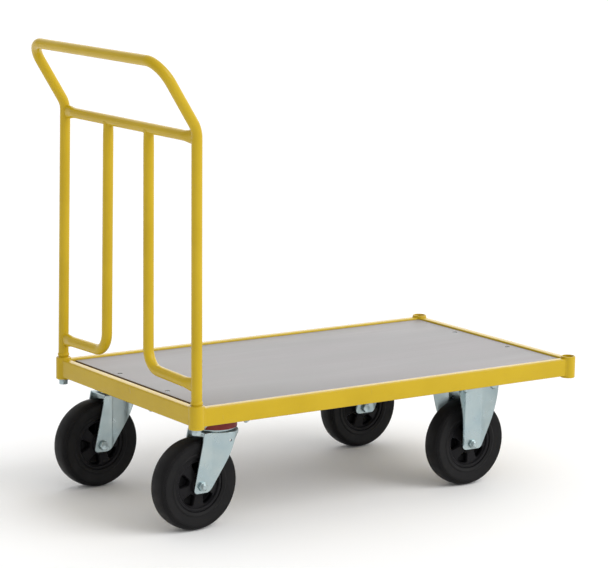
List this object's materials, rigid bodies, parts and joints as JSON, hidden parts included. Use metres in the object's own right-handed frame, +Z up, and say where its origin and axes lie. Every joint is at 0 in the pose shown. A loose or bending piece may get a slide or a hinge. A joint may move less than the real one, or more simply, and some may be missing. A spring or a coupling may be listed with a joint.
{
  "type": "platform trolley",
  "caption": "Flat-bed platform trolley with a steel tube frame, grey deck board, bolt-on tubular push handle, swivel castors under the handle and fixed castors near the front.",
  "frame": {"origin": "on the floor, under the middle of the trolley's bounding box", "axes": "+Z up; +X along the platform from the push handle to the open front end; +Y to the left of a person who pushes"},
  "size_m": [1.1298, 0.6036, 1.0178],
  "materials": {
    "frame_paint": "yellow powder coat, semi-gloss with a fine orange-peel surface",
    "deck_board": "grey film-faced plywood, matt, with faint lengthwise grain",
    "zinc_steel": "bright zinc plating, slightly blue-green, satin",
    "tyre_rubber": "black solid rubber, matt",
    "hub_plastic": "black moulded plastic, satin",
    "seal_plastic": "dark red moulded plastic"
  },
  "bodies": {
    "platform": {"corner_socket_front_left": "frame_paint", "corner_socket_front_right": "frame_paint", "corner_socket_handle_left": "frame_paint", "corner_socket_handle_right": "frame_paint", "cross_tube_1": "frame_paint", "cross_tube_2": "frame_paint", "cross_tube_3": "frame_paint", "cross_tube_4": "frame_paint", "cross_tube_5": "frame_paint", "deck_board": "deck_board", "deck_screw_1": "zinc_steel", "deck_screw_2": "zinc_steel", "deck_screw_3": "zinc_steel", "deck_screw_4": "zinc_steel", "end_rail_front": "frame_paint", "end_rail_handle": "frame_paint", "end_rail_rivet_left": "zinc_steel", "end_rail_rivet_right": "zinc_steel", "fixed_axle_left": "zinc_steel", "fixed_axle_right": "zinc_steel", "fixed_bush_left": "zinc_steel", "fixed_bush_right": "zinc_steel", "fixed_fork_left": "zinc_steel", "fixed_fork_right": "zinc_steel", "fixed_nut_left": "zinc_steel", "fixed_nut_right": "zinc_steel", "handle_bolt_left": "zinc_steel", "handle_bolt_right": "zinc_steel", "handle_brace_left": "frame_paint", "handle_brace_right": "frame_paint", "handle_crossbar": "frame_paint", "handle_insert_left": "zinc_steel", "handle_insert_right": "zinc_steel", "handle_loop": "frame_paint", "handle_washer_left": "zinc_steel", "handle_washer_right": "zinc_steel", "side_rail_left": "frame_paint", "side_rail_right": "frame_paint", "swivel_kingpin_left": "zinc_steel", "swivel_kingpin_right": "zinc_steel", "swivel_plate_left": "zinc_steel", "swivel_plate_right": "zinc_steel", "swivel_seal_left": "seal_plastic", "swivel_seal_right": "seal_plastic"},
    "swivel_left": {"swivel_fork_left": "zinc_steel", "swivel_axle_left": "zinc_steel", "swivel_nut_left": "zinc_steel", "swivel_bush_left": "zinc_steel"},
    "swivel_wheel_left": {"swivel_hub_left": "hub_plastic", "swivel_tyre_left": "tyre_rubber"},
    "fixed_wheel_left": {"fixed_hub_left": "hub_plastic", "fixed_tyre_left": "tyre_rubber"},
    "swivel_right": {"swivel_fork_right": "zinc_steel", "swivel_axle_right": "zinc_steel", "swivel_nut_right": "zinc_steel", "swivel_bush_right": "zinc_steel"},
    "swivel_wheel_right": {"swivel_hub_right": "hub_plastic", "swivel_tyre_right": "tyre_rubber"},
    "fixed_wheel_right": {"fixed_hub_right": "hub_plastic", "fixed_tyre_right": "tyre_rubber"}
  },
  "joints": [
    {"name": "swivel_turn_right", "type": "hinge", "parent": "platform", "child": "swivel_right", "pos_m": [-0.36965, -0.209, 0.22], "axis": [0, 0, 1], "continuous": true},
    {"name": "swivel_wheel_spin_right", "type": "hinge", "parent": "swivel_right", "child": "swivel_wheel_right", "pos_m": [-0.42357, -0.21192, 0.1], "axis": [-0.0541, 0.9985, 0], "continuous": true},
    {"name": "fixed_wheel_spin_right", "type": "hinge", "parent": "platform", "child": "fixed_wheel_right", "pos_m": [0.30805, -0.209, 0.1], "axis": [0, 1, 0], "continuous": true},
    {"name": "swivel_turn_left", "type": "hinge", "parent": "platform", "child": "swivel_left", "pos_m": [-0.36965, 0.209, 0.22], "axis": [0, 0, 1], "continuous": true},
    {"name": "swivel_wheel_spin_left", "type": "hinge", "parent": "swivel_left", "child": "swivel_wheel_left", "pos_m": [-0.42364, 0.20806, 0.1], "axis": [-0.0175, 0.9998, 0], "continuous": true},
    {"name": "fixed_wheel_spin_left", "type": "hinge", "parent": "platform", "child": "fixed_wheel_left", "pos_m": [0.30805, 0.209, 0.1], "axis": [0, 1, 0], "continuous": true}
  ]
}
